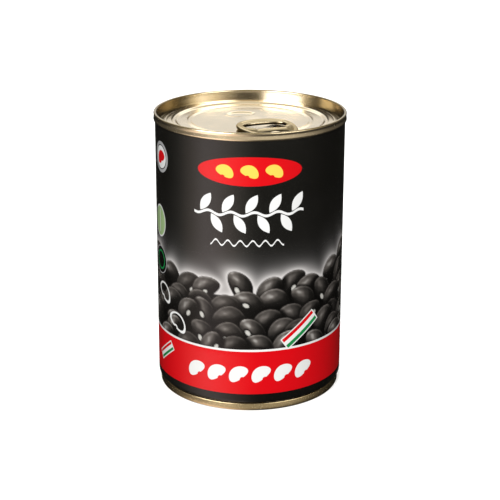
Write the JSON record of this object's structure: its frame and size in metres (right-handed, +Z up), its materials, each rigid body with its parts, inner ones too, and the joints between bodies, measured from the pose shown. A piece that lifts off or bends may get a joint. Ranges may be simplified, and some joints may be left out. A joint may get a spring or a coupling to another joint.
{
  "type": "canned beans",
  "caption": "Shut, upright tin can of black beans with a black and red printed body, a necked-in base seam, a gold lacquered end with pressed rings and a ring-pull.",
  "frame": {"origin": "centre of the circle that the base seam stands on", "axes": "+Z up along the can's axis, -Y towards the side the picture is taken from, +X to that view's right"},
  "size_m": [0.0742, 0.0742, 0.11],
  "materials": {
    "printed_tin": "black and red print under gloss varnish",
    "lid_tinplate": "pale gold lacquer, glossy",
    "tab_tinplate": "pale gold lacquer, satin",
    "base_tinplate": "gold lacquer, glossy"
  },
  "bodies": {
    "root": {"can_body": "printed_tin", "lid": "lid_tinplate", "pull_tab": "tab_tinplate", "base_end": "base_tinplate"}
  },
  "joints": []
}
